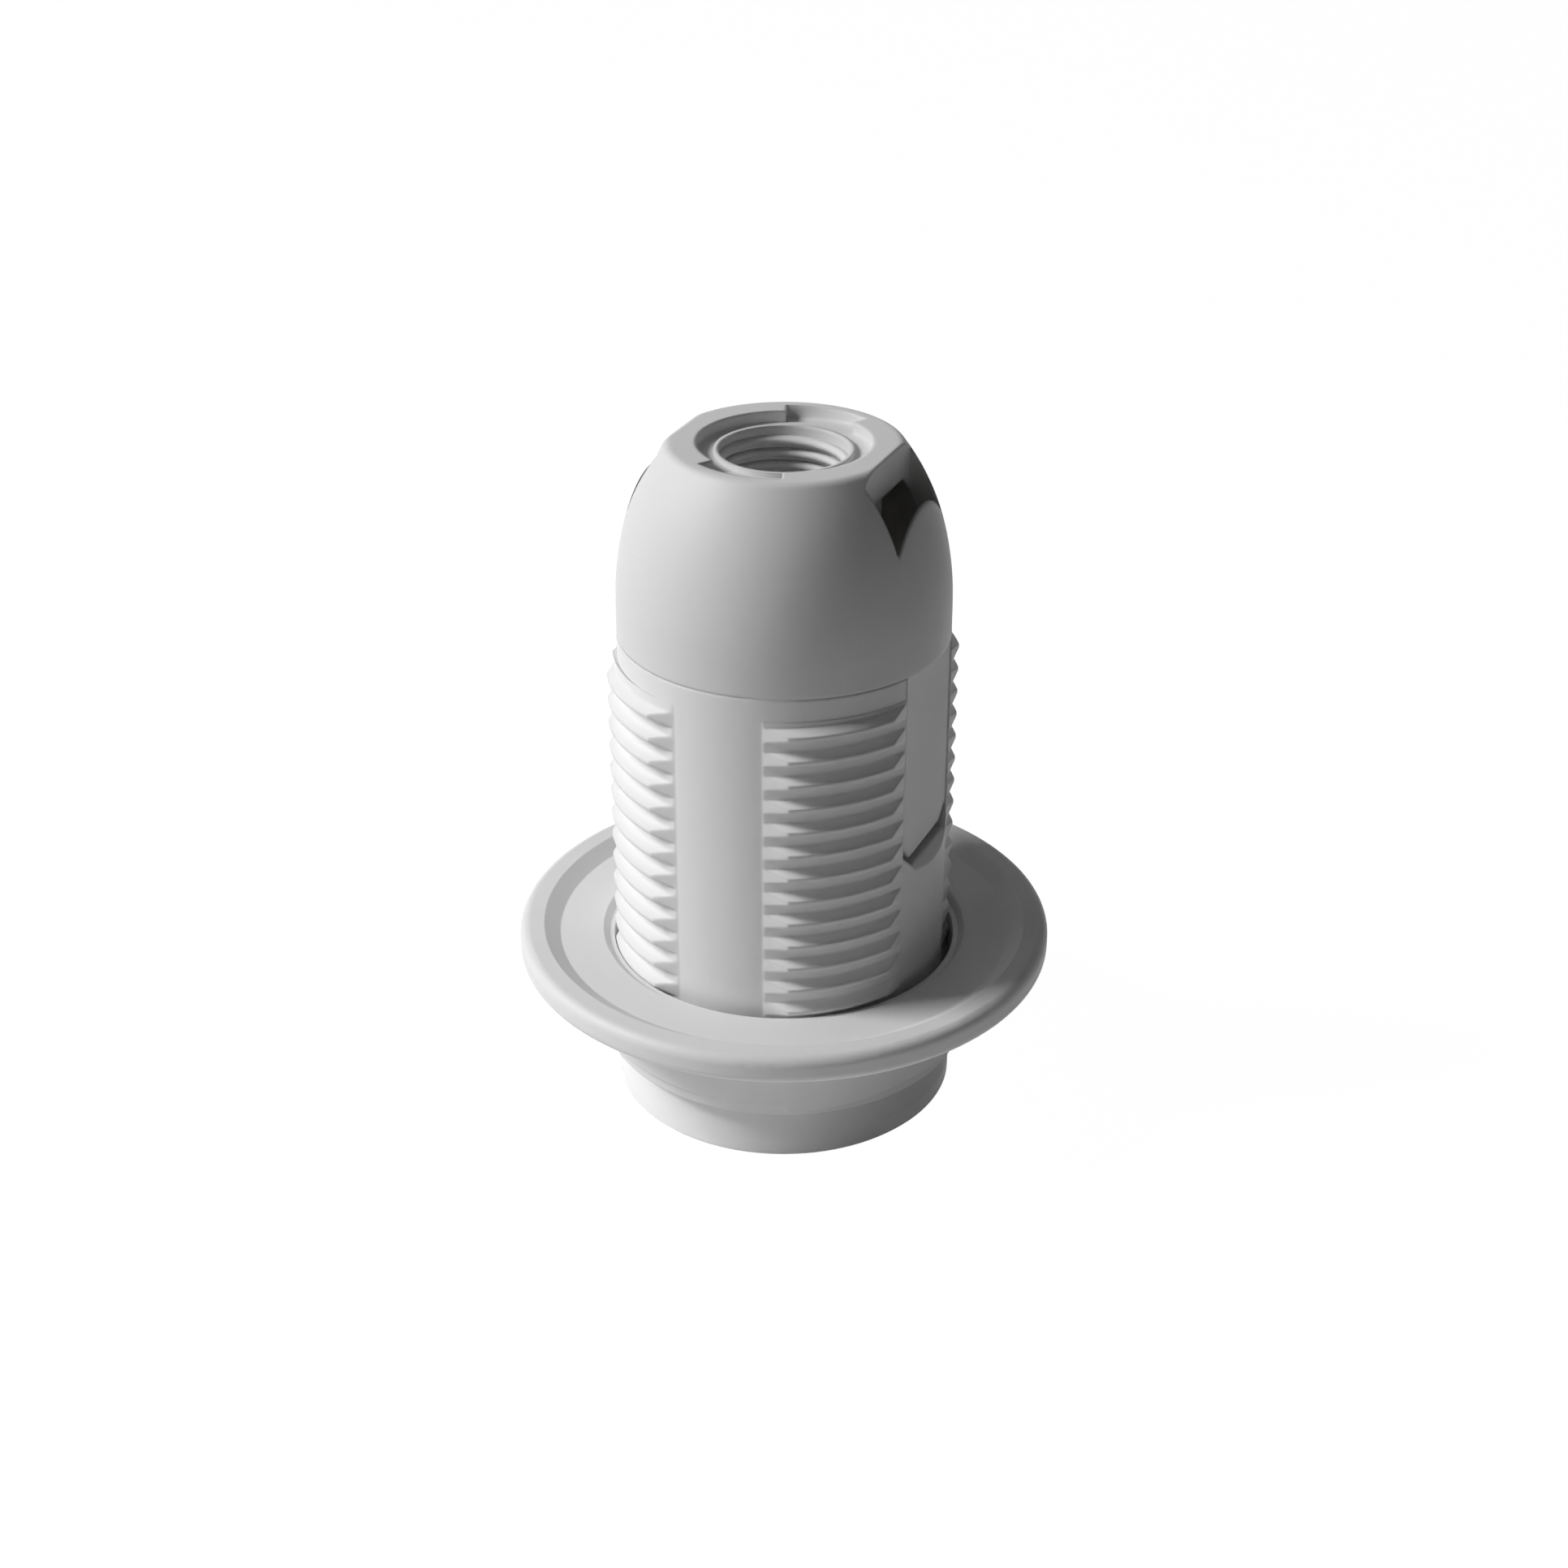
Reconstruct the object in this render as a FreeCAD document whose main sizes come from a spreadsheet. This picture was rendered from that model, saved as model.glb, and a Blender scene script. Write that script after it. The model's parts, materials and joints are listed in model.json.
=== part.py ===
import FreeCAD, Part
import math
import os
import Sketcher

# Lamp holder for a 14 mm small-screw lamp: a moulded barrel with an interrupted 28 x 2 thread, a
# shade ring that screws along it, and a cap with a 10 x 1 entry for the tube or nipple.
# The holder stands on its mouth. Z runs up the axis to the cap, with Z = 0 at the mouth, and the
# two latch tongues of the cap lie on X. Lengths are in millimetres, angles in degrees.

V = FreeCAD.Vector
document = FreeCAD.newDocument("lamp_holder")

# Driving dimensions
DIMENSIONS = {
    # Overall
    "top_height": 55.9,
    "rim_height": 40.5,
    # Shell
    "shell_radius": 13.1,
    "shell_inner_radius": 11.5,
    "mouth_radius": 13.95,
    "mouth_band_height": 1.6,
    "mouth_taper_height": 4.7,
    "mouth_taper_radius": 13.3,
    "mouth_edge": 0.3,
    "lip_radius": 9.9,
    "lip_height": 2.0,
    "ledge_radius": 9.6,
    "ledge_thickness": 1.8,
    "ledge_height": 28.4,
    "slot_gap": 0.7,
    "slot_sill": 0.7,
    "key_width": 1.2,
    "key_depth": 0.8,
    # Barrel thread, left out of four smooth stretches where the mould parts and the slots run
    "thread_radius": 13.95,
    "thread_pitch": 2.0,
    "thread_crest": 0.3,
    "thread_flank_angle": 30.0,
    "thread_depth": 0.8,
    "thread_start_height": 4.0,
    "thread_bottom_height": 5.0,
    "thread_top_drop": 1.8,
    "sector_angle": 47.8,
    "sector_root_angle": 25.6,
    "sector_crest_angle": 17.6,
    # Cap
    "dome_radius": 13.08,
    "dome_skirt": 2.5,
    "dome_join_share": 0.465,
    "dome_join_inset": 0.69,
    "crown_inset": 3.85,
    "crown_edge_drop": 0.3,
    "crown_edge_run": 0.6,
    "crown_edge_arc": 0.75,
    "cavity_radius": 11.1,
    "cavity_shoulder_rise": 1.0,
    "cavity_roof_inset": 2.2,
    "roof_thickness": 2.9,
    "hub_radius": 7.4,
    "hub_length": 9.9,
    "entry_radius": 5.0,
    "entry_lip_radius": 5.35,
    "entry_lip_drop": 0.6,
    "recess_radius": 6.7,
    "recess_depth": 0.95,
    "ratchet_radius": 8.0,
    "ratchet_start_angle": 61.0,
    "ratchet_span_angle": 51.0,
    # Release slots and latch tongues
    "release_wall": 8.4,
    "tongue_face": 12.1,
    "tongue_width": 9.4,
    "tongue_corner": 1.4,
    "tongue_clearance": 0.2,
    "barb_height": 2.2,
    "barb_depth": 1.2,
    "barb_lead": 1.5,
    "barb_width": 6.4,
    "barb_clearance": 0.1,
    # Shade ring
    "ring_radius": 21.8,
    "ring_bore_clearance": 0.08,
    "ring_seat_clearance": 0.05,
    "ring_hub_length": 9.0,
    "ring_sleeve_wall": 0.87,
    "ring_collar_wall": 0.5,
    "ring_collar_rise": 1.2,
    "ring_flange_thickness": 1.5,
    "ring_rim_width": 2.0,
    "ring_rim_slope": 1.3,
    "ring_rim_rise": 0.85,
    "ring_rim_round": 0.8,
    "ring_step_width": 0.4,
    "ring_chamfer_width": 0.5,
    "ring_chamfer_depth": 0.45,
    "ring_tooth_drop": 0.75,
    "ring_tooth_slant": 0.5,
    "ring_tooth_length": 10.4,
    "ring_tooth_angle": -46.7,
    "ring_tooth_count": 4,
    # Lamp sleeve
    "lamp_radius": 7.05,
    "chamber_radius": 7.6,
    "chamber_length": 8.4,
    "sleeve_clearance": 0.2,
    "sleeve_recess": 0.3,
    "sleeve_chamfer": 1.2,
    "foot_thickness": 1.4,
    "side_slot_reach": 1.6,
    "side_slot_clearance": 0.3,
    # Contact carrier
    "carrier_clearance": 0.2,
    "carrier_thickness": 3.5,
    "carrier_boss": 1.2,
    "carrier_wall": 1.1,
    "carrier_wall_width": 11.2,
    "carrier_wall_clearance": 0.1,
    "barrier_thickness": 1.2,
    "barrier_height": 6.0,
    "barrier_length": 18.0,
    # Rivets and contact leaves
    "rivet_offset": 5.4,
    "rivet_radius": 0.75,
    "rivet_head_radius": 1.4,
    "rivet_head_height": 0.5,
    "rivet_clearance": 0.05,
    "leaf_thickness": 0.4,
    "leaf_width": 3.6,
    "leaf_foot": 1.5,
    "leaf_play": 0.25,
    "leaf_hole_play": 0.25,
    "centre_drop": 2.45,
    "centre_tip": 1.0,
    "centre_tail": 2.2,
    "centre_tail_rise": 0.7,
    "side_arm_radius": 8.2,
    "side_arm_tail": 1.1,
    "side_bump_radius": 6.6,
    "side_bump_drop": 5.35,
    "side_bump_reach": 1.9,
    # Terminals
    "terminal_thickness": 1.2,
    "terminal_offset": 5.0,
    "terminal_width": 6.6,
    "terminal_tail": 2.4,
    "terminal_nose": 2.6,
    "ear_thickness": 0.6,
    "ear_height": 2.2,
    "screw_offset": 4.2,
    "screw_radius": 1.45,
    "screw_clearance": 0.05,
    "screw_length": 5.0,
    "screw_head_radius": 2.3,
    "screw_head_height": 1.7,
    "screw_slot_width": 0.6,
    "screw_slot_depth": 0.9,
    "well_clearance": 0.4,
    "well_depth": 3.0,
    "plate_thickness": 0.9,
    "plate_length": 4.0,
    "plate_clearance": 0.1,
    "washer_radius": 2.1,
    "washer_thickness": 0.5,
    "washer_gap": 0.6,
    # How far the cutting shapes reach past what they cut
    "overrun": 1.0,
}

# Dimensions that follow from the driving ones
FORMULAS = {
    "zero": "=0",
    "half_turn": "=180",
    "full_turn": "=360",
    "thread_top_height": "=rim_height - thread_top_drop",
    # Barrel thread
    "thread_root_radius": "=thread_radius - thread_depth",
    "lead_angle": "=atan(thread_pitch / (2 * pi * thread_radius)) / 1 deg",
    "thread_sunk_radius": "=thread_root_radius - overrun / 2",
    "comb_bottom": "=thread_start_height - thread_pitch",
    "comb_top": "=thread_top_height + 2 * thread_pitch",
    "groove_height": "=thread_start_height - thread_pitch / 2",
    "groove_count": "=floor((comb_top - comb_bottom) / thread_pitch)",
    "groove_outer_radius": "=thread_radius + overrun",
    "groove_half_root": "=(thread_pitch - thread_crest) / 2"
                        " - thread_depth * tan(thread_flank_angle * 1 deg)",
    "groove_half_outer": "=groove_half_root"
                         " + (thread_depth + overrun) * tan(thread_flank_angle * 1 deg)",
    "sector_crest_x": "=thread_radius * cos(sector_crest_angle * 1 deg)",
    "sector_crest_y": "=thread_radius * sin(sector_crest_angle * 1 deg)",
    "sector_root_x": "=thread_root_radius * cos(sector_root_angle * 1 deg)",
    "sector_root_y": "=thread_root_radius * sin(sector_root_angle * 1 deg)",
    "sector_sunk_x": "=sector_root_x - (sector_crest_x - sector_root_x) / 2",
    "sector_sunk_y": "=sector_root_y + (sector_root_y - sector_crest_y) / 2",
    "slot_half_width": "=tongue_width / 2 + tongue_clearance",
    "key_half_width": "=key_width / 2",
    # Cap
    "dome_shoulder_height": "=rim_height + dome_skirt",
    "crown_height": "=top_height - crown_edge_drop",
    "dome_join_rise": "=dome_join_share * (crown_height - dome_shoulder_height)",
    "dome_join_height": "=dome_shoulder_height + dome_join_rise",
    "dome_join_radius": "=dome_radius - dome_join_inset",
    "dome_side_arc": "=(dome_join_inset ^ 2 + dome_join_rise ^ 2) / (2 * dome_join_inset)",
    "dome_join_sine": "=dome_join_rise / dome_side_arc",
    "dome_join_cosine": "=sqrt(1 - dome_join_sine ^ 2)",
    "crown_radius": "=dome_radius - crown_inset",
    "crown_fall": "=dome_join_radius - crown_radius",
    "crown_rise": "=crown_height - dome_join_height",
    "dome_crown_arc": "=(crown_fall ^ 2 + crown_rise ^ 2)"
                      " / (2 * (crown_fall * dome_join_cosine - crown_rise * dome_join_sine))",
    "cavity_shoulder_height": "=dome_shoulder_height + cavity_shoulder_rise",
    "cavity_roof_height": "=top_height - roof_thickness",
    "cavity_roof_radius": "=cavity_radius - cavity_roof_inset",
    "cavity_arc": "=(cavity_roof_inset ^ 2 + (cavity_roof_height - cavity_shoulder_height) ^ 2)"
                  " / (2 * cavity_roof_inset)",
    "hub_height": "=top_height - hub_length",
    "tongue_half_width": "=tongue_width / 2",
    "barb_top": "=ledge_height - ledge_thickness - barb_clearance",
    "tongue_height": "=barb_top - barb_height",
    "slot_height": "=tongue_height - slot_gap",
    "sill_start": "=shell_radius - slot_sill",
    "sill_drop": "=mouth_radius + overrun - sill_start",
    "sill_width": "=2 * (slot_half_width - tongue_corner)",
    # Shade ring
    "ring_bore": "=thread_radius + ring_bore_clearance",
    "ring_bottom": "=mouth_taper_height + ring_seat_clearance",
    "ring_sleeve_radius": "=ring_bore + ring_sleeve_wall",
    "ring_collar_radius": "=ring_sleeve_radius + ring_collar_wall",
    "ring_collar_height": "=ring_bottom + ring_collar_rise",
    "ring_floor_height": "=ring_bottom + ring_hub_length",
    "ring_under_height": "=ring_floor_height - ring_flange_thickness",
    "ring_rim_height": "=ring_floor_height + ring_rim_rise",
    "ring_rim_radius": "=ring_radius - ring_rim_width",
    "ring_floor_radius": "=ring_rim_radius - ring_rim_slope",
    "ring_tooth_half": "=ring_tooth_length / 2",
    # Lamp sleeve
    "chamber_height": "=ledge_height - chamber_length",
    "sleeve_radius": "=ledge_radius - sleeve_clearance",
    "foot_radius": "=shell_inner_radius - sleeve_clearance",
    "side_slot_half_width": "=leaf_width / 2 + side_slot_clearance",
    # Contact carrier
    "carrier_radius": "=shell_inner_radius - carrier_clearance",
    "carrier_top": "=ledge_height + carrier_thickness",
    "carrier_bottom": "=ledge_height - carrier_boss",
    "carrier_wall_top": "=rim_height - carrier_wall_clearance",
    "carrier_wall_half": "=carrier_wall_width / 2",
    "carrier_flat": "=cavity_radius - 2 * tongue_clearance",
    "notch_half_width": "=key_half_width + carrier_clearance",
    "barrier_half_thickness": "=barrier_thickness / 2",
    "barrier_half_length": "=barrier_length / 2",
    # Rivets and contact leaves
    "leaf_top": "=carrier_bottom - leaf_play",
    "leaf_bottom": "=leaf_top - leaf_thickness",
    "leaf_hole_radius": "=rivet_radius + leaf_hole_play",
    "rivet_hole_radius": "=rivet_radius + rivet_clearance",
    "rivet_low_seat": "=leaf_bottom - leaf_play",
    "centre_height": "=carrier_bottom - centre_drop",
    "side_bump_height": "=leaf_top - side_bump_drop",
    "side_arm_height": "=side_bump_height - side_bump_reach - side_arm_tail",
    "side_slot_height": "=side_arm_height - side_slot_reach",
    # Terminals
    "terminal_top": "=carrier_top + terminal_thickness",
    "terminal_near": "=terminal_offset - terminal_width / 2",
    "terminal_far": "=terminal_offset + terminal_width / 2",
    "ear_start": "=screw_offset - plate_length / 2",
    "plate_bottom": "=terminal_top + plate_clearance",
    "plate_top": "=plate_bottom + plate_thickness",
    "plate_half_length": "=plate_length / 2",
    "plate_half_width": "=terminal_width / 2 - ear_thickness - plate_clearance",
    "plate_hole_radius": "=screw_radius + plate_clearance",
    "washer_top": "=plate_top + washer_thickness",
    "washer_half_gap": "=washer_gap / 2",
    "head_top": "=washer_top + screw_head_height",
    "screw_slot_half": "=screw_slot_width / 2",
}

sizes = document.addObject("Spreadsheet::Sheet", "Sizes")
for row, (name, content) in enumerate({**DIMENSIONS, **FORMULAS}.items(), start=1):
    sizes.set(f"A{row}", name)
    sizes.set(f"B{row}", str(content))
    sizes.setAlias(f"B{row}", name)
document.recompute()


def value(terms):
    """Number that a sum of named sizes has now, such as "rim_height - overrun"."""
    total = 0.0
    sign = 1.0
    for word in terms.split():
        if word in "+-":
            sign = -1.0 if word == "-" else 1.0
        else:
            total += sign * float(getattr(sizes, word))
    return total


def formula(terms):
    """The same sum as an expression that stays bound to the sheet."""
    return " ".join(word if word in "+-" else "Sizes." + word for word in terms.split())


def bind(thing, path, terms):
    thing.setExpression(path, formula(terms))


# Sketches and the features made from them

def origin_plane(body, role):
    return next(item for item in body.Origin.OriginFeatures if item.Role == role)


def arc_between(start, end, radius, turn):
    """Arc of the given radius from start to end, anticlockwise where turn is 1."""
    chord = end - start
    height = math.sqrt(radius ** 2 - (chord.Length / 2) ** 2)
    left = V(-chord.y, chord.x, 0).normalize()
    centre = (start + end) / 2 + left * height * turn
    angles = [math.atan2(point.y - centre.y, point.x - centre.x) for point in (start, end)]
    if turn < 0:
        angles.reverse()
    if angles[1] < angles[0]:
        angles[1] += 2 * math.pi
    return Part.ArcOfCircle(Part.Circle(centre, V(0, 0, 1), radius), *angles)


def outline(sketch, corners, arcs):
    """Closed outline through corners, each a pair of sums bound to the sheet.

    arcs maps the number of a side to its radius and its turn, 1 for anticlockwise.
    """
    points = [V(value(across), value(up), 0) for across, up in corners]
    ends = []
    for side, start in enumerate(points):
        end = points[(side + 1) % len(points)]
        if side in arcs:
            radius, turn = arcs[side]
            sketch.addGeometry(arc_between(start, end, value(radius), turn), False)
            ends.append((1, 2) if turn > 0 else (2, 1))
        else:
            sketch.addGeometry(Part.LineSegment(start, end), False)
            ends.append((1, 2))
    for side, (across, up) in enumerate(corners):
        following = (side + 1) % len(corners)
        sketch.addConstraint(Sketcher.Constraint(
            "Coincident", side, ends[side][1], following, ends[following][0]))
        for kind, terms, name in (("DistanceX", across, "across"), ("DistanceY", up, "up")):
            number = sketch.addConstraint(Sketcher.Constraint(
                kind, -1, 1, side, ends[side][0], value(terms)))
            sketch.renameConstraint(number, f"{name}_{side}")
            bind(sketch, f"Constraints.{name}_{side}", terms)
    for side, (radius, turn) in arcs.items():
        number = sketch.addConstraint(Sketcher.Constraint("Radius", side, value(radius)))
        sketch.renameConstraint(number, f"arc_{side}")
        bind(sketch, f"Constraints.arc_{side}", radius)


def body_sketch(body, name, role, corners, arcs=None):
    sketch = body.newObject("Sketcher::SketchObject", name)
    sketch.AttachmentSupport = [(origin_plane(body, role), "")]
    sketch.MapMode = "FlatFace"
    outline(sketch, corners, arcs or {})
    return sketch


def new_body(name):
    return document.addObject("PartDesign::Body", name)


def revolve(body, name, corners, arcs=None, kind="Revolution"):
    """Turned form: corners are pairs of radius and height."""
    sketch = body_sketch(body, name + "_outline", "XZ_Plane", corners, arcs)
    turned = body.newObject("PartDesign::" + kind, name)
    turned.Profile = sketch
    turned.ReferenceAxis = (sketch, ["V_Axis"])
    turned.setExpression("Angle", "Sizes.full_turn")
    return turned


def extrude(body, name, role, corners, length, kind="Pad", offset=None, side="One side"):
    sketch = body_sketch(body, name + "_outline", role, corners)
    if offset:
        bind(sketch, "AttachmentOffset.Base.z", offset)
    feature = body.newObject("PartDesign::" + kind, name)
    feature.Profile = sketch
    feature.SideType = side
    bind(feature, "Length", length)
    return feature


# Plain shapes between named limits, and the booleans that join or cut them

def block(name, x_range, y_range, z_range):
    box = document.addObject("Part::Box", name)
    for size, axis, limits in zip(("Length", "Width", "Height"), "xyz", (x_range, y_range, z_range)):
        low, high = limits
        box.setExpression(size, f"({formula(high)}) - ({formula(low)})")
        bind(box, "Placement.Base." + axis, low)
    return box


def drum(name, radius, bottom, top, x_place="zero", y_place="zero"):
    cylinder = document.addObject("Part::Cylinder", name)
    bind(cylinder, "Radius", radius)
    cylinder.setExpression("Height", f"({formula(top)}) - ({formula(bottom)})")
    for axis, terms in zip("xyz", (x_place, y_place, bottom)):
        bind(cylinder, "Placement.Base." + axis, terms)
    return cylinder


def joined(name, things):
    fused = document.addObject("Part::MultiFuse", name)
    fused.Shapes = things
    return fused


def without(name, base, tools):
    cut = document.addObject("Part::Cut", name)
    cut.Base = base
    cut.Tool = tools[0] if len(tools) == 1 else joined(name + "_tools", tools)
    return cut


def turned_about_axis(thing, angle):
    """Turns a shape about the holder's axis by a sum of named angles."""
    thing.Placement = FreeCAD.Placement(V(0, 0, 0), FreeCAD.Rotation(V(0, 0, 1), value(angle)))
    bind(thing, "Placement.Rotation.Angle", angle)
    return thing


NODES = {}


def finish(node, thing):
    thing.Label = node
    NODES[node] = thing


# Threaded shell

def thread_comb():
    """Ring with one ridge for each turn, cut by V-shaped grooves that lean to the lead of the thread."""
    comb = new_body("thread_comb")
    revolve(comb, "comb_ring", [
        ("thread_sunk_radius", "comb_bottom"),
        ("thread_radius", "comb_bottom"),
        ("thread_radius", "comb_top"),
        ("thread_sunk_radius", "comb_top"),
    ])
    groove = revolve(comb, "comb_groove", [
        ("thread_root_radius", "- groove_half_root"),
        ("groove_outer_radius", "- groove_half_outer"),
        ("groove_outer_radius", "groove_half_outer"),
        ("thread_root_radius", "groove_half_root"),
    ], kind="Groove")
    lean = groove.Profile[0]
    lean.AttachmentOffset = FreeCAD.Placement(V(0, value("groove_height"), 0),
                                              FreeCAD.Rotation(V(-1, 0, 0), value("lead_angle")))
    bind(lean, "AttachmentOffset.Base.y", "groove_height")
    bind(lean, "AttachmentOffset.Rotation.Angle", "lead_angle")
    pattern = comb.newObject("PartDesign::LinearPattern", "comb_grooves")
    pattern.Originals = [groove]
    pattern.Direction = (origin_plane(comb, "Z_Axis"), [""])
    pattern.setExpression("Length", "(Sizes.groove_count - 1) * Sizes.thread_pitch")
    pattern.setExpression("Occurrences", "Sizes.groove_count")
    comb.Tip = pattern
    return comb


def barrel_thread():
    """Ridges of the four sectors, each raised by its share of the pitch, with ends ramped to the root.

    Each sector is cut from the far side of the comb and then turned to its place.
    """
    comb = thread_comb()
    sectors = []
    for name, angle in (("front_right", "- sector_angle"), ("back_right", "sector_angle"),
                        ("front_left", "sector_angle - half_turn"),
                        ("back_left", "half_turn - sector_angle")):
        wedge = new_body(name + "_wedge")
        extrude(wedge, name + "_wedge_form", "XY_Plane", [
            ("- sector_sunk_x + overrun", "sector_sunk_y"),
            ("- sector_sunk_x", "sector_sunk_y"),
            ("- sector_crest_x", "sector_crest_y"),
            ("- thread_radius - overrun", "sector_crest_y"),
            ("- thread_radius - overrun", "- sector_crest_y"),
            ("- sector_crest_x", "- sector_crest_y"),
            ("- sector_sunk_x", "- sector_sunk_y"),
            ("- sector_sunk_x + overrun", "- sector_sunk_y"),
        ], "thread_top_height - thread_bottom_height", offset="thread_bottom_height")
        raised = document.addObject("App::Link", name + "_comb")
        raised.LinkedObject = comb
        raised.setExpression("Placement.Base.z",
                             f"({formula(angle)}) / Sizes.full_turn * Sizes.thread_pitch")
        ridges = document.addObject("Part::MultiCommon", name + "_ridges")
        ridges.Shapes = [raised, wedge]
        sectors.append(turned_about_axis(ridges, angle + " - half_turn"))
    return sectors


def tongue_slot(side):
    """Opening for a latch tongue, with its corners and a sill that slopes down to the outside."""
    opening = new_body(side + "_slot")
    extrude(opening, side + "_slot_form", "YZ_Plane", [
        ("- slot_half_width + tongue_corner", "slot_height"),
        ("slot_half_width - tongue_corner", "slot_height"),
        ("slot_half_width", "slot_height + tongue_corner"),
        ("slot_half_width", "rim_height + overrun"),
        ("- slot_half_width", "rim_height + overrun"),
        ("- slot_half_width", "slot_height + tongue_corner"),
    ], "mouth_radius - cavity_radius + tongue_clearance + overrun",
        offset="cavity_radius - tongue_clearance")
    extrude(opening, side + "_sill", "XZ_Plane", [
        ("sill_start", "slot_height"),
        ("mouth_radius + overrun", "slot_height - sill_drop"),
        ("mouth_radius + overrun", "slot_height + tongue_corner"),
        ("sill_start", "slot_height + tongue_corner"),
    ], "sill_width", side="Symmetric")
    return opening


def threaded_shell():
    wall = new_body("shell_wall")
    revolve(wall, "shell_form", [
        ("lip_radius", "zero"),
        ("mouth_radius - mouth_edge", "zero"),
        ("mouth_radius", "mouth_edge"),
        ("mouth_radius", "mouth_band_height"),
        ("mouth_taper_radius", "mouth_taper_height"),
        ("shell_radius", "mouth_taper_height"),
        ("shell_radius", "rim_height"),
        ("shell_inner_radius", "rim_height"),
        ("shell_inner_radius", "ledge_height"),
        ("ledge_radius", "ledge_height"),
        ("ledge_radius", "ledge_height - ledge_thickness"),
        ("shell_inner_radius", "ledge_height - ledge_thickness"),
        ("shell_inner_radius", "lip_height"),
        ("lip_radius", "lip_height"),
    ])
    key_height = ("ledge_height", "rim_height - overrun")
    key_x = ("- key_half_width", "key_half_width")
    front_key = block("front_key", key_x,
                      ("- shell_inner_radius - key_depth", "- shell_inner_radius + key_depth"), key_height)
    back_key = block("back_key", key_x,
                     ("shell_inner_radius - key_depth", "shell_inner_radius + key_depth"), key_height)
    whole = joined("shell_and_thread", [wall, front_key, back_key] + barrel_thread())
    slots = [turned_about_axis(tongue_slot(side), turn)
             for side, turn in (("right", "zero"), ("left", "half_turn"))]
    finish("threaded_shell", without("shell_cut", whole, slots))


# Cap

def cap():
    body = new_body("cap_body")
    revolve(body, "cap_form", [
        ("cavity_radius", "rim_height"),
        ("dome_radius", "rim_height"),
        ("dome_radius", "dome_shoulder_height"),
        ("dome_join_radius", "dome_join_height"),
        ("crown_radius", "crown_height"),
        ("crown_radius - crown_edge_run", "top_height"),
        ("recess_radius", "top_height"),
        ("recess_radius", "top_height - recess_depth"),
        ("entry_lip_radius", "top_height - recess_depth"),
        ("entry_lip_radius", "top_height - entry_lip_drop"),
        ("entry_radius", "top_height - entry_lip_drop"),
        ("entry_radius", "hub_height"),
        ("hub_radius", "hub_height"),
        ("hub_radius", "cavity_roof_height"),
        ("cavity_roof_radius", "cavity_roof_height"),
        ("cavity_radius", "cavity_shoulder_height"),
    ], {2: ("dome_side_arc", 1), 3: ("dome_crown_arc", 1), 4: ("crown_edge_arc", 1),
        14: ("cavity_arc", -1)})
    release = extrude(body, "release_slot", "XY_Plane", [
        ("release_wall", "- tongue_half_width"),
        ("cavity_radius", "- tongue_half_width"),
        ("cavity_radius", "tongue_half_width"),
        ("release_wall", "tongue_half_width"),
    ], "top_height - rim_height + overrun", kind="Pocket", offset="rim_height")
    release.Reversed = True
    tongue = extrude(body, "latch_tongue", "YZ_Plane", [
        ("- tongue_half_width + tongue_corner", "tongue_height"),
        ("tongue_half_width - tongue_corner", "tongue_height"),
        ("tongue_half_width", "tongue_height + tongue_corner"),
        ("tongue_half_width", "dome_shoulder_height"),
        ("- tongue_half_width", "dome_shoulder_height"),
        ("- tongue_half_width", "tongue_height + tongue_corner"),
    ], "tongue_face - cavity_radius", offset="cavity_radius")
    barb = extrude(body, "latch_barb", "XZ_Plane", [
        ("cavity_radius", "tongue_height"),
        ("cavity_radius", "barb_top"),
        ("cavity_radius - barb_depth", "barb_top"),
        ("cavity_radius - barb_depth", "tongue_height + barb_lead"),
    ], "barb_width", side="Symmetric")
    mirror = body.newObject("PartDesign::Mirrored", "left_latch")
    mirror.Originals = [release, tongue, barb]
    mirror.MirrorPlane = (origin_plane(body, "YZ_Plane"), [""])
    body.Tip = mirror

    ratchets = []
    for side, turn in (("front", "half_turn"), ("back", "zero")):
        ratchet = drum(side + "_ratchet", "ratchet_radius", "top_height - recess_depth",
                       "top_height + overrun")
        bind(ratchet, "Angle", "ratchet_span_angle")
        turned_about_axis(ratchet, "ratchet_start_angle + " + turn)
        core = drum(side + "_ratchet_core", "entry_lip_radius", "top_height - recess_depth - overrun",
                    "top_height + overrun + overrun")
        ratchets.append(without(side + "_ratchet_ring", ratchet, [core]))
    finish("cap", without("cap_cut", body, ratchets))


# Shade ring

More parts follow.
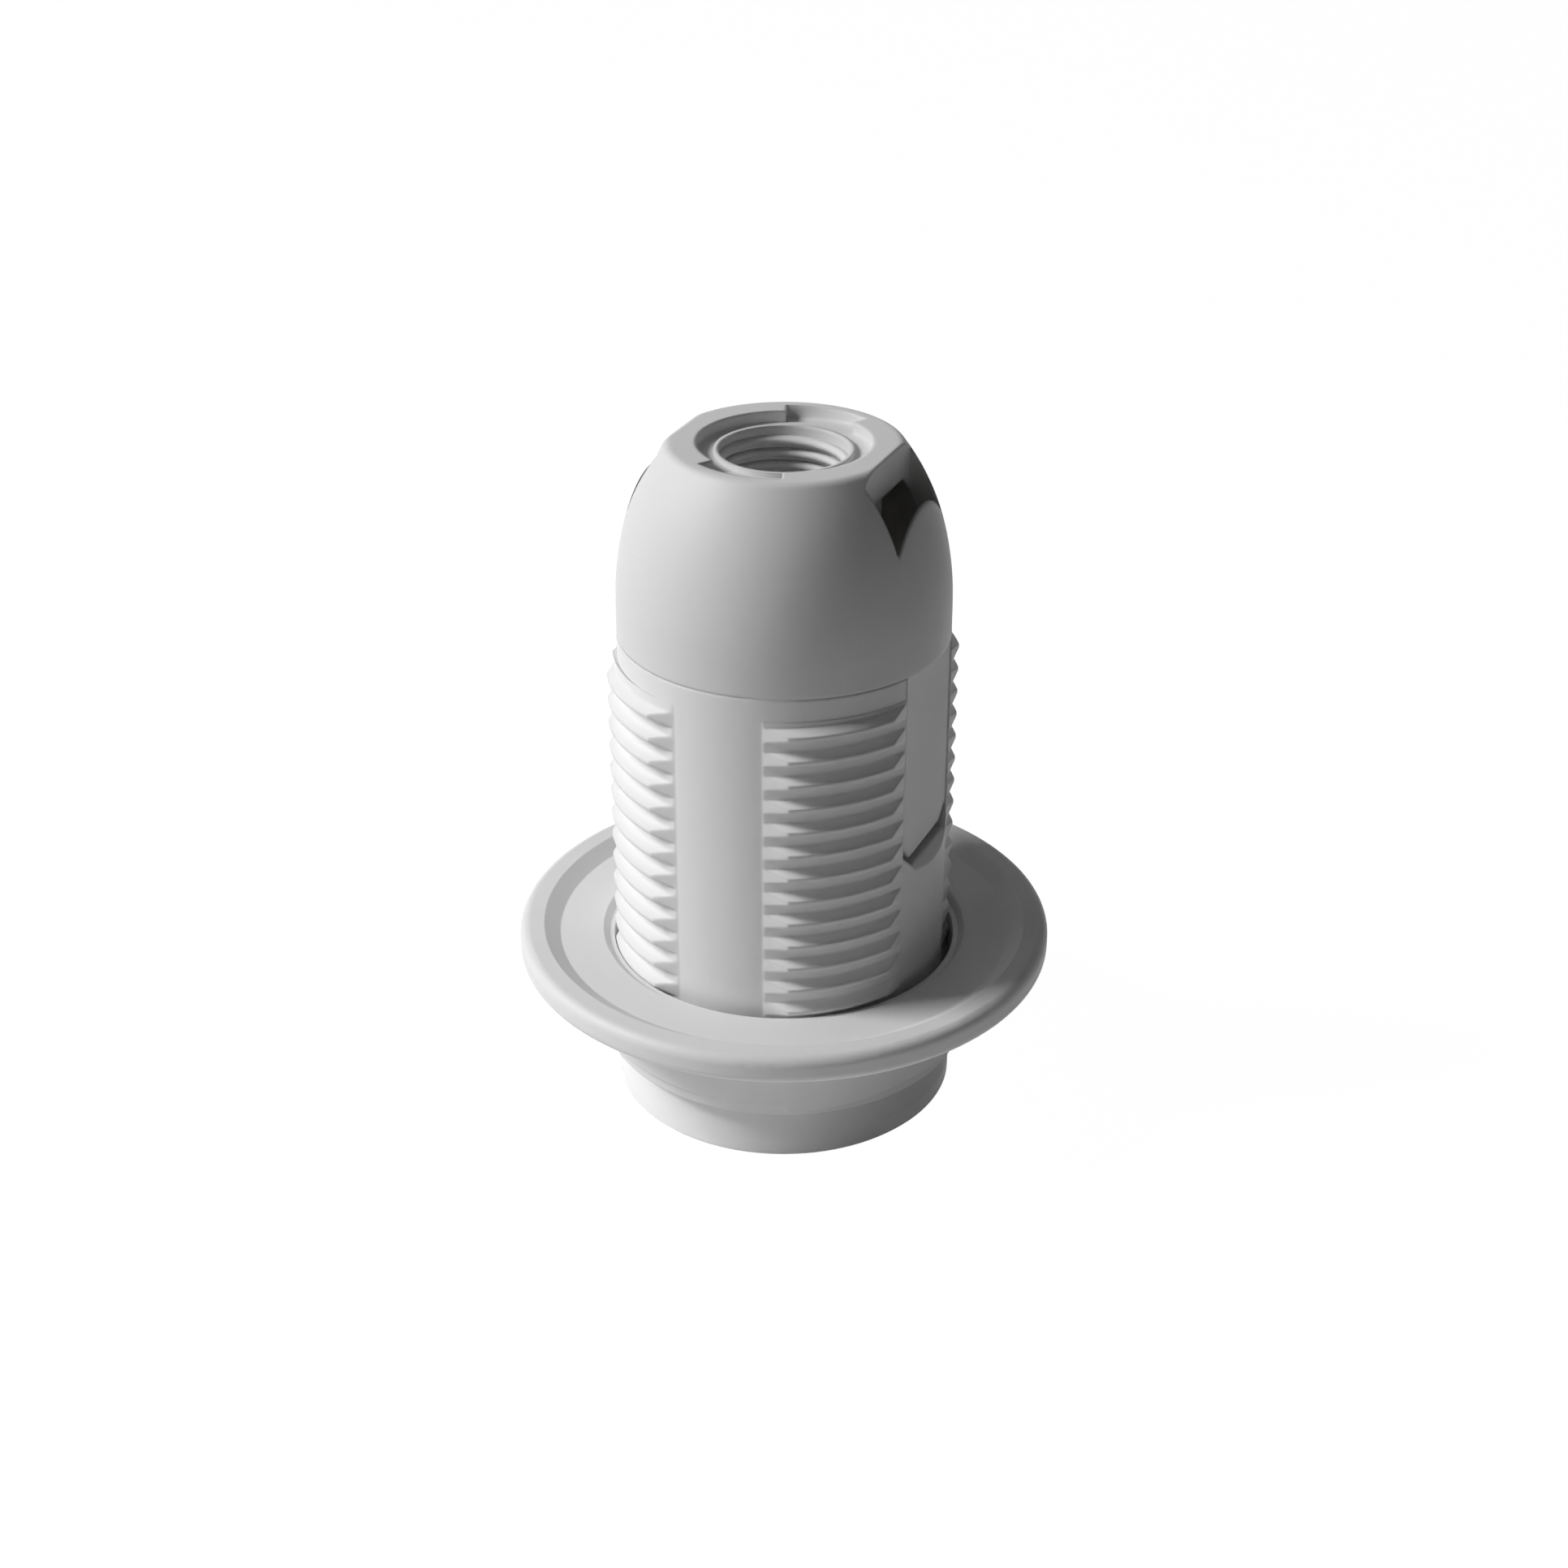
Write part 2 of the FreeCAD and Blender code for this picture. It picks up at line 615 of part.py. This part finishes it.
def shade_ring():
    body = new_body("ring_body")
    revolve(body, "ring_form", [
        ("ring_bore", "ring_bottom"),
        ("ring_sleeve_radius", "ring_bottom"),
        ("ring_sleeve_radius", "ring_collar_height"),
        ("ring_collar_radius", "ring_collar_height"),
        ("ring_collar_radius", "ring_under_height"),
        ("ring_radius - ring_rim_round", "ring_under_height"),
        ("ring_radius", "ring_under_height + ring_rim_round"),
        ("ring_radius", "ring_rim_height - ring_rim_round"),
        ("ring_radius - ring_rim_round", "ring_rim_height"),
        ("ring_rim_radius", "ring_rim_height"),
        ("ring_floor_radius", "ring_floor_height"),
        ("ring_bore + ring_step_width + ring_chamfer_width", "ring_floor_height"),
        ("ring_bore + ring_step_width", "ring_floor_height - ring_chamfer_depth"),
        ("ring_bore", "ring_floor_height - ring_chamfer_depth"),
    ], {5: ("ring_rim_round", 1), 7: ("ring_rim_round", 1)})
    tooth = extrude(body, "ring_tooth", "YZ_Plane", [
        ("- ring_tooth_half", "ring_collar_height"),
        ("- ring_tooth_half + ring_tooth_slant", "ring_collar_height - ring_tooth_drop"),
        ("ring_tooth_half", "ring_collar_height"),
        ("ring_tooth_half", "ring_collar_height + ring_tooth_drop"),
        ("- ring_tooth_half", "ring_collar_height + ring_tooth_drop"),
    ], "ring_collar_radius - ring_bore + overrun", offset="ring_bore - overrun")
    pattern = body.newObject("PartDesign::PolarPattern", "ring_teeth")
    pattern.Originals = [tooth]
    pattern.Axis = (origin_plane(body, "Z_Axis"), [""])
    bind(pattern, "Angle", "full_turn")
    bind(pattern, "Occurrences", "ring_tooth_count")
    body.Tip = pattern
    revolve(body, "tooth_trim", [
        ("ring_collar_radius", "ring_bottom - overrun"),
        ("ring_collar_radius + overrun + overrun", "ring_bottom - overrun"),
        ("ring_collar_radius + overrun + overrun", "ring_under_height"),
        ("ring_collar_radius", "ring_under_height"),
    ], kind="Groove")
    revolve(body, "bore_trim", [
        ("ring_bore - overrun - overrun", "ring_bottom - overrun"),
        ("ring_bore", "ring_bottom - overrun"),
        ("ring_bore", "ring_floor_height - ring_chamfer_depth"),
        ("ring_bore - overrun - overrun", "ring_floor_height - ring_chamfer_depth"),
    ], kind="Groove")
    finish("shade_ring", turned_about_axis(body, "ring_tooth_angle"))


# Lamp sleeve and contact carrier

def lamp_sleeve():
    body = new_body("sleeve_body")
    revolve(body, "sleeve_form", [
        ("lamp_radius + sleeve_chamfer", "sleeve_recess"),
        ("sleeve_radius", "sleeve_recess"),
        ("sleeve_radius", "lip_height"),
        ("foot_radius", "lip_height"),
        ("foot_radius", "lip_height + foot_thickness"),
        ("sleeve_radius", "lip_height + foot_thickness"),
        ("sleeve_radius", "ledge_height"),
        ("chamber_radius", "ledge_height"),
        ("chamber_radius", "chamber_height"),
        ("lamp_radius", "chamber_height - chamber_radius + lamp_radius"),
        ("lamp_radius", "sleeve_recess + sleeve_chamfer"),
    ])
    slot = block("side_slot", ("- side_slot_half_width", "side_slot_half_width"),
                 ("- sleeve_radius - overrun", "- lamp_radius + overrun"),
                 ("side_slot_height", "ledge_height + overrun"))
    finish("lamp_sleeve", without("sleeve_cut", body, [slot]))


def contact_carrier():
    body = new_body("carrier_body")
    revolve(body, "carrier_form", [
        ("zero", "carrier_bottom"),
        ("chamber_radius - carrier_clearance", "carrier_bottom"),
        ("chamber_radius - carrier_clearance", "ledge_height"),
        ("carrier_radius", "ledge_height"),
        ("carrier_radius", "carrier_wall_top"),
        ("carrier_radius - carrier_wall", "carrier_wall_top"),
        ("carrier_radius - carrier_wall", "carrier_top"),
        ("zero", "carrier_top"),
    ])
    across = ("- carrier_radius - overrun", "carrier_radius + overrun")
    above = ("carrier_top", "carrier_wall_top + overrun")
    full = ("carrier_bottom - overrun", "carrier_wall_top + overrun")
    cuts = [
        block("right_opening", ("carrier_wall_half", "carrier_radius + overrun"), across, above),
        block("left_opening", ("- carrier_radius - overrun", "- carrier_wall_half"), across, above),
        block("right_flat", ("carrier_flat", "carrier_radius + overrun"), across, full),
        block("left_flat", ("- carrier_radius - overrun", "- carrier_flat"), across, full),
        block("back_notch", ("- notch_half_width", "notch_half_width"),
              ("shell_inner_radius - key_depth - carrier_clearance", "carrier_radius + overrun"), full),
        block("front_notch", ("- notch_half_width", "notch_half_width"),
              ("- carrier_radius - overrun", "- shell_inner_radius + key_depth + carrier_clearance"), full),
    ]
    opened = without("carrier_opened", body, cuts)
    barrier = block("barrier", ("- barrier_half_length", "barrier_half_length"),
                    ("- barrier_half_thickness", "barrier_half_thickness"),
                    ("carrier_top - overrun", "carrier_top + barrier_height"))
    solid = joined("carrier_and_barrier", [opened, barrier])
    holes = []
    for side, sign in (("line", ""), ("neutral", "- ")):
        holes.append(drum(side + "_rivet_hole", "rivet_hole_radius", "carrier_bottom - overrun",
                          "carrier_top + overrun", "zero", sign + "rivet_offset"))
        holes.append(drum(side + "_screw_well", "screw_radius + well_clearance",
                          "carrier_top - well_depth", "carrier_top + overrun",
                          sign + "screw_offset", sign + "terminal_offset"))
    finish("contact_carrier", without("carrier_cut", solid, holes))


# Contact leaves and rivets

def leaf(name, corners, hole_place):
    """Spring strip bent from sheet, with a loose hole round its rivet."""
    body = new_body(name + "_body")
    extrude(body, name + "_strip", "YZ_Plane", corners, "leaf_width", side="Symmetric")
    hole = drum(name + "_hole", "leaf_hole_radius", "leaf_bottom - overrun", "leaf_top + overrun",
                "zero", hole_place)
    finish(name, without(name + "_cut", body, [hole]))


def centre_contact():
    upper = [
        ("rivet_offset + leaf_foot", "leaf_top"),
        ("rivet_offset - leaf_foot", "leaf_top"),
        ("centre_tip", "centre_height"),
        ("- centre_tip", "centre_height"),
        ("- centre_tail", "centre_height + centre_tail_rise"),
    ]
    lower = [(across, up + " - leaf_thickness") for across, up in reversed(upper)]
    leaf("centre_contact", upper + lower, "rivet_offset")


def side_contact():
    outer = [
        ("- rivet_offset + leaf_foot", "leaf_top"),
        ("- side_arm_radius", "leaf_top"),
        ("- side_arm_radius", "side_bump_height + side_bump_reach"),
        ("- side_bump_radius - leaf_thickness", "side_bump_height"),
        ("- side_arm_radius", "side_bump_height - side_bump_reach"),
        ("- side_arm_radius", "side_arm_height"),
    ]
    inner = [
        ("- side_arm_radius + leaf_thickness", "side_arm_height"),
        ("- side_arm_radius + leaf_thickness", "side_bump_height - side_bump_reach"),
        ("- side_bump_radius", "side_bump_height"),
        ("- side_arm_radius + leaf_thickness", "side_bump_height + side_bump_reach"),
        ("- side_arm_radius + leaf_thickness", "leaf_bottom"),
        ("- rivet_offset + leaf_foot", "leaf_bottom"),
    ]
    leaf("side_contact", outer + inner, "- rivet_offset")


def rivet(node, y_place):
    body = new_body(node + "_body")
    revolve(body, node + "_form", [
        ("zero", "rivet_low_seat - rivet_head_height"),
        ("rivet_head_radius", "rivet_low_seat - rivet_head_height"),
        ("rivet_head_radius", "rivet_low_seat"),
        ("rivet_radius", "rivet_low_seat"),
        ("rivet_radius", "terminal_top"),
        ("rivet_head_radius", "terminal_top"),
        ("rivet_head_radius", "terminal_top + rivet_head_height"),
        ("zero", "terminal_top + rivet_head_height"),
    ])
    bind(body, "Placement.Base.y", y_place)
    finish(node, body)


# Terminals: built for the line side at +Y, and turned half round the axis for the neutral side

def terminal(pole, angle):
    plate = block(pole + "_plate", ("- terminal_tail", "screw_offset + terminal_nose"),
                  ("terminal_near", "terminal_far"), ("carrier_top", "terminal_top"))
    ear_x = ("ear_start", "screw_offset + terminal_nose")
    ear_z = ("carrier_top", "terminal_top + ear_height")
    near_ear = block(pole + "_near_ear", ear_x, ("terminal_near", "terminal_near + ear_thickness"), ear_z)
    far_ear = block(pole + "_far_ear", ear_x, ("terminal_far - ear_thickness", "terminal_far"), ear_z)
    below = "carrier_top - overrun"
    above = "terminal_top + overrun"
    tapped = drum(pole + "_tapped_hole", "screw_radius + screw_clearance", below, above,
                  "screw_offset", "terminal_offset")
    pinned = drum(pole + "_pin_hole", "rivet_hole_radius", below, above, "zero", "rivet_offset")
    whole = joined(pole + "_terminal_form", [plate, near_ear, far_ear])
    cut = without(pole + "_terminal_cut", whole, [tapped, pinned])
    finish(pole + "_terminal", turned_about_axis(cut, angle))


def pressure_plate(pole, angle):
    flat = block(pole + "_clamp_flat",
                 ("screw_offset - plate_half_length", "screw_offset + plate_half_length"),
                 ("terminal_offset - plate_half_width", "terminal_offset + plate_half_width"),
                 ("plate_bottom", "plate_top"))
    hole = drum(pole + "_clamp_hole", "plate_hole_radius", "plate_bottom - overrun",
                "plate_top + overrun", "screw_offset", "terminal_offset")
    finish(pole + "_pressure_plate", turned_about_axis(without(pole + "_clamp_cut", flat, [hole]), angle))


def spring_washer(pole, angle):
    disc = drum(pole + "_washer_disc", "washer_radius", "plate_top", "washer_top",
                "screw_offset", "terminal_offset")
    hole = drum(pole + "_washer_hole", "plate_hole_radius", "plate_top - overrun",
                "washer_top + overrun", "screw_offset", "terminal_offset")
    gap = block(pole + "_washer_split", ("screw_offset", "screw_offset + washer_radius + overrun"),
                ("terminal_offset - washer_half_gap", "terminal_offset + washer_half_gap"),
                ("plate_top - overrun", "washer_top + overrun"))
    cut = without(pole + "_washer_cut", disc, [hole, gap])
    finish(pole + "_spring_washer", turned_about_axis(cut, angle))


def terminal_screw(pole, angle):
    shank = drum(pole + "_shank", "screw_radius", "washer_top - screw_length", "washer_top",
                 "screw_offset", "terminal_offset")
    head = drum(pole + "_head", "screw_head_radius", "washer_top", "head_top",
                "screw_offset", "terminal_offset")
    slot = block(pole + "_driver_slot",
                 ("screw_offset - screw_head_radius - overrun", "screw_offset + screw_head_radius + overrun"),
                 ("terminal_offset - screw_slot_half", "terminal_offset + screw_slot_half"),
                 ("head_top - screw_slot_depth", "head_top + overrun"))
    cut = without(pole + "_screw_cut", joined(pole + "_screw_form", [shank, head]), [slot])
    finish(pole + "_screw", turned_about_axis(cut, angle))


threaded_shell()
cap()
shade_ring()
lamp_sleeve()
contact_carrier()
centre_contact()
side_contact()
rivet("centre_rivet", "rivet_offset")
rivet("side_rivet", "- rivet_offset")
for pole, angle in (("line", "zero"), ("neutral", "half_turn")):
    terminal(pole, angle)
    pressure_plate(pole, angle)
    spring_washer(pole, angle)
    terminal_screw(pole, angle)

document.recompute()
for item in document.Objects:
    if "Invalid" in item.State or "Error" in item.State:
        raise RuntimeError(f"{item.Label} did not build: {item.State}")
for node, thing in NODES.items():
    if thing.Shape.isNull() or not thing.Shape.isValid() or len(thing.Shape.Solids) != 1:
        raise RuntimeError(f"{node} is not one valid solid")

os.makedirs("parts", exist_ok=True)
for node, thing in NODES.items():
    thing.Shape.exportStep(f"parts/{node}.step")
    box = thing.Shape.BoundBox
    print(f"{node:24s} {thing.Shape.Volume:9.2f} mm3  z {box.ZMin:6.2f} to {box.ZMax:6.2f}")
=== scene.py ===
import json
import math

import bmesh
import bpy
from mathutils import Matrix, Vector


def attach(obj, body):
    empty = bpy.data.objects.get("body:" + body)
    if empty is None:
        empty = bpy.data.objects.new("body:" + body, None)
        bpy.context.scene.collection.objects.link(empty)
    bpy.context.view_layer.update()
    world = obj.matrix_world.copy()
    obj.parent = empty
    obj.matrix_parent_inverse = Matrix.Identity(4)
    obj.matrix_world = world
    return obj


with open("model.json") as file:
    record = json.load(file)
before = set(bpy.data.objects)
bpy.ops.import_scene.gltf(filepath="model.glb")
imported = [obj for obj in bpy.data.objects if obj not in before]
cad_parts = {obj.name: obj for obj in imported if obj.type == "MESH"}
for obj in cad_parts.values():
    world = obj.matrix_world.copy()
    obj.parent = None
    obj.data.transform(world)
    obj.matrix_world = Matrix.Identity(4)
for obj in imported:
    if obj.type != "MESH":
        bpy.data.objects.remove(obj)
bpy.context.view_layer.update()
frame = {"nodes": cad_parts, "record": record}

scene = bpy.context.scene
mm = 0.001


# Materials

def surface(name, colour, roughness, metallic=0.0):
    material = bpy.data.materials.new(name)
    material.use_nodes = True
    nodes = material.node_tree.nodes
    shader = nodes["Principled BSDF"]
    shader.inputs["Base Color"].default_value = (*colour, 1)
    shader.inputs["Roughness"].default_value = roughness
    shader.inputs["Metallic"].default_value = metallic
    return material, nodes, material.node_tree.links, shader


def noise(nodes, links, scale, detail):
    place = nodes.new("ShaderNodeTexCoord")
    texture = nodes.new("ShaderNodeTexNoise")
    texture.inputs["Scale"].default_value = scale
    texture.inputs["Detail"].default_value = detail
    links.new(place.outputs["Object"], texture.inputs["Vector"])
    return texture


def mapRange(nodes, links, value, before, after):
    ramp = nodes.new("ShaderNodeMapRange")
    ramp.inputs["From Min"].default_value, ramp.inputs["From Max"].default_value = before
    ramp.inputs["To Min"].default_value, ramp.inputs["To Max"].default_value = after
    links.new(value, ramp.inputs["Value"])
    return ramp.outputs["Result"]


noiseRange = (0.3, 0.7)     # most of what a noise texture gives lies between these


def unevenGloss(nodes, links, shader, finish, roughness):
    cloud = noise(nodes, links, finish["cloud"], finish["cloudDetail"])
    both = (roughness - finish["roughnessSpread"], roughness + finish["roughnessSpread"])
    gloss = mapRange(nodes, links, cloud.outputs["Fac"], noiseRange, both)
    links.new(gloss, shader.inputs["Roughness"])


# Moulded and sheared edges are shaded as round within a short reach

reach = {
    "samples": 6,
    "cap": 0.4 * mm,
    "shell": 0.38 * mm,
    "ring": 0.16 * mm,
    "insert": 0.2 * mm,
    "sheet": 0.08 * mm,
}


def roundedEdges(nodes, edge):
    bevel = nodes.new("ShaderNodeBevel")
    bevel.samples = reach["samples"]
    bevel.inputs["Radius"].default_value = reach[edge]
    return bevel.outputs["Normal"]


plastic = {
    "grain": 2600,          # mould finish, features of about 0.4 mm
    "grainDetail": 2,
    "grainDepth": 0.006 * mm,
    "cloud": 120,           # broad unevenness of the gloss
    "cloudDetail": 3,
    "roughness": 0.55,
    "roughnessSpread": 0.05,
}


def mouldedPlastic(name, colour, edge):
    material, nodes, links, shader = surface(name, colour, plastic["roughness"])
    unevenGloss(nodes, links, shader, plastic, plastic["roughness"])
    grain = noise(nodes, links, plastic["grain"], plastic["grainDetail"])
    bump = nodes.new("ShaderNodeBump")
    bump.inputs["Strength"].default_value = 1
    bump.inputs["Distance"].default_value = plastic["grainDepth"]
    links.new(grain.outputs["Fac"], bump.inputs["Height"])
    links.new(roundedEdges(nodes, edge), bump.inputs["Normal"])
    links.new(bump.outputs["Normal"], shader.inputs["Normal"])
    return material


metal = {"cloud": 400, "cloudDetail": 4, "roughnessSpread": 0.08}


def sheetMetal(name, colour, roughness):
    material, nodes, links, shader = surface(name, colour, roughness, metallic=1.0)
    unevenGloss(nodes, links, shader, metal, roughness)
    links.new(roundedEdges(nodes, "sheet"), shader.inputs["Normal"])
    return material


# The whites differ partly as the plastics do, and partly as painted light: the shell and the ring
# are made paler than the cap to stand in for the brighter light from the front and below on the
# barrel and the ring
finishes = {
    "white_cap": mouldedPlastic("whiteCap", (0.74, 0.74, 0.74), "cap"),
    "white_shell": mouldedPlastic("whiteShell", (0.84, 0.84, 0.84), "shell"),
    "white_ring": mouldedPlastic("whiteRing", (0.82, 0.82, 0.82), "ring"),
    "white_insert": mouldedPlastic("whiteInsert", (0.80, 0.80, 0.78), "insert"),
    "contact_bronze": sheetMetal("contactBronze", (0.72, 0.47, 0.28), 0.32),
    "terminal_brass": sheetMetal("terminalBrass", (0.78, 0.62, 0.32), 0.34),
    "plated_steel": sheetMetal("platedSteel", (0.70, 0.71, 0.73), 0.36),
}

slotOf = {part["node"]: part["material_slot"] for part in frame["record"]["subparts"]}
for node, piece in frame["nodes"].items():
    piece.data.materials.clear()
    piece.data.materials.append(finishes[slotOf[node]])
print("materials on", len(frame["nodes"]), "nodes")


# Threads inside the cable entry and the lamp sleeve

entryThread = {
    "radius": 5.0,
    "depth": 0.52,
    "pitch": 1.0,
    "rootWidth": 0.86,
    "crestWidth": 0.22,
    "top": 55.25,
    "turns": 8.0,
    "leadIn": 40,           # degrees over which the ridge rises out of the wall
}

lampThread = {
    "radius": 7.05,
    "depth": 0.72,
    "pitch": 2.82,
    "rootWidth": 1.9,
    "crestWidth": 0.5,
    "top": 18.4,
    "turns": 5.5,
    "leadIn": 60,
}

thread = {
    "stepsPerTurn": 72,
    "sunk": 0.05,
    "belly": 0.6,           # share of the depth at which the flank is half its width, so it bulges
}


# A ridge winds down the wall of a hole, and both its ends run out into the wall

def innerThread(name, body, slot, form):
    ridge = bmesh.new()
    root = (form["radius"] + thread["sunk"]) * mm
    flank = (form["radius"] - thread["belly"] * form["depth"]) * mm
    crest = (form["radius"] - form["depth"]) * mm
    rootHalf = form["rootWidth"] / 2 * mm
    crestHalf = form["crestWidth"] / 2 * mm
    middle = (rootHalf + crestHalf) / 2
    top = form["top"] * mm - rootHalf
    section = [(root, -rootHalf), (flank, -middle), (crest, -crestHalf),
               (crest, crestHalf), (flank, middle), (root, rootHalf)]
    corners = [ridge.verts.new((across, 0, top + up)) for across, up in section]
    face = ridge.faces.new(corners)
    steps = round(thread["stepsPerTurn"] * form["turns"])
    drop = Vector((0, 0, -form["pitch"] * mm / thread["stepsPerTurn"]))
    bmesh.ops.spin(ridge, geom=[face] + list(face.edges) + corners, cent=(0, 0, 0), axis=(0, 0, 1),
                   dvec=drop, angle=-2 * math.pi * form["turns"], steps=steps, use_duplicate=False)
    for vertex in ridge.verts:
        wound = (top - vertex.co.z) / (form["pitch"] * mm)
        nearestEnd = min(wound, form["turns"] - wound) * 360
        rise = max(0.0, min(1.0, nearestEnd / form["leadIn"]))
        away = math.hypot(vertex.co.x, vertex.co.y)
        placed = root - (root - away) * rise
        vertex.co.x *= placed / away
        vertex.co.y *= placed / away
    bmesh.ops.recalc_face_normals(ridge, faces=ridge.faces)
    mesh = bpy.data.meshes.new(name)
    ridge.to_mesh(mesh)
    ridge.free()
    mesh.shade_smooth()
    piece = bpy.data.objects.new(name, mesh)
    scene.collection.objects.link(piece)
    mesh.materials.append(finishes[slot])
    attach(piece, body)


innerThread("cable_entry_thread", "housing", "white_cap", entryThread)
innerThread("lamp_thread", "housing", "white_insert", lampThread)
print("threads cut")


# Stage: a floor and a backdrop that look white without lighting the object

def seenDirectly(nodes, links):
    path = nodes.new("ShaderNodeLightPath")
    seen = path.outputs["Is Camera Ray"]
    for ray in ("Is Glossy Ray", "Is Transmission Ray"):
        either = nodes.new("ShaderNodeMath")
        either.operation = "MAXIMUM"
        links.new(seen, either.inputs[0])
        links.new(path.outputs[ray], either.inputs[1])
        seen = either.outputs["Value"]
    return seen


stage = {
    "half": 3.0,
    "near": 0.9,            # pale under the object and darker further away
    "far": 0.15,
    "pale": 0.1,            # metres from the axis at which it starts to darken, and is dark
    "dark": 0.2,
    "roughness": 0.9,
    "white": 0.9,           # share of plain white that the camera sees, the rest keeps the shadow
    "whiteStrength": 1.1,
}


def whiteFloor():
    grid = bmesh.new()
    bmesh.ops.create_grid(grid, x_segments=1, y_segments=1, size=stage["half"])
    mesh = bpy.data.meshes.new("floor")
    grid.to_mesh(mesh)
    grid.free()
    floor = bpy.data.objects.new("floor", mesh)
    scene.collection.objects.link(floor)
    material, nodes, links, shader = surface("floorWhite", (stage["near"],) * 3, stage["roughness"])
    shader.inputs["Specular IOR Level"].default_value = 0
    place = nodes.new("ShaderNodeTexCoord")
    away = nodes.new("ShaderNodeVectorMath")
    away.operation = "LENGTH"
    links.new(place.outputs["Object"], away.inputs[0])
    fade = mapRange(nodes, links, away.outputs["Value"], (stage["pale"], stage["dark"]),
                    (stage["near"], stage["far"]))
    links.new(fade, shader.inputs["Base Color"])
    bright = nodes.new("ShaderNodeEmission")
    bright.inputs["Strength"].default_value = stage["whiteStrength"]
    share = nodes.new("ShaderNodeMath")
    share.operation = "MULTIPLY"
    share.inputs[1].default_value = stage["white"]
    mix = nodes.new("ShaderNodeMixShader")
    links.new(seenDirectly(nodes, links), share.inputs[0])
    links.new(share.outputs["Value"], mix.inputs["Fac"])
    links.new(shader.outputs["BSDF"], mix.inputs[1])
    links.new(bright.outputs["Emission"], mix.inputs[2])
    links.new(mix.outputs["Shader"], nodes["Material Output"].inputs["Surface"])
    mesh.materials.append(material)


# Camera, fitted to the thread crests, the ring and the cap in the photograph

view = {
    "sensor": 36,
    "lens": 57.94,
    "distance": 180 * mm,
    "azimuth": 23.30,
    "height": 121.99 * mm,
    "down": 27.91,
    "roll": 0.05,
}


def photoCamera():
    data = bpy.data.cameras.new("photo")
    data.lens = view["lens"]
    data.sensor_width = view["sensor"]
    camera = bpy.data.objects.new("photo", data)
    scene.collection.objects.link(camera)
    turn = Matrix.Rotation(math.radians(view["azimuth"]), 4, "Z")
    tilt = Matrix.Rotation(math.radians(90 - view["down"]), 4, "X")
    roll = Matrix.Rotation(math.radians(view["roll"]), 4, "Z")
    place = turn @ Vector((0, -view["distance"], view["height"]))
    camera.matrix_world = Matrix.Translation(place) @ turn @ tilt @ roll
    scene.camera = camera


# Light: lamps stand around the object, by degrees to the camera's left and above the floor

light = {
    "worldStrength": 0.01,
    "distance": 0.8,
    "middle": (0, 0, 0.03),
}

lamps = {
    "key": {"left": 88, "above": 39, "size": 0.25, "power": 5.5},
    "fill": {"left": 60, "above": 3, "size": 0.4, "power": 0.9},
    "side": {"left": -100, "above": 5, "size": 0.4, "power": 0.12},
}


def areaLamp(name, lampForm):
    lamp = bpy.data.lights.new(name, "AREA")
    lamp.shape = "SQUARE"
    lamp.size = lampForm["size"]
    lamp.energy = lampForm["power"]
    holder = bpy.data.objects.new(name, lamp)
    scene.collection.objects.link(holder)
    around = math.radians(view["azimuth"] - 90 - lampForm["left"])
    above = math.radians(lampForm["above"])
    towards = Vector((math.cos(above) * math.cos(around),
                      math.cos(above) * math.sin(around),
                      math.sin(above)))
    holder.location = Vector(light["middle"]) + light["distance"] * towards
    holder.rotation_euler = towards.to_track_quat("Z", "Y").to_euler()


def whiteWorld():
    world = bpy.data.worlds.new("softBox")
    scene.world = world
    world.use_nodes = True
    nodes = world.node_tree.nodes
    links = world.node_tree.links
    dim = nodes["Background"]
    dim.inputs["Strength"].default_value = light["worldStrength"]
    bright = nodes.new("ShaderNodeBackground")
    bright.inputs["Strength"].default_value = 1
    for background in (dim, bright):
        background.inputs["Color"].default_value = (1, 1, 1, 1)
    mix = nodes.new("ShaderNodeMixShader")
    links.new(seenDirectly(nodes, links), mix.inputs["Fac"])
    links.new(dim.outputs["Background"], mix.inputs[1])
    links.new(bright.outputs["Background"], mix.inputs[2])
    links.new(mix.outputs["Shader"], nodes["World Output"].inputs["Surface"])


whiteFloor()
photoCamera()
whiteWorld()
for name, lampForm in lamps.items():
    areaLamp(name, lampForm)
print("stage, light and camera ready")
scene.view_settings.view_transform = "Standard"

print("scene ready")
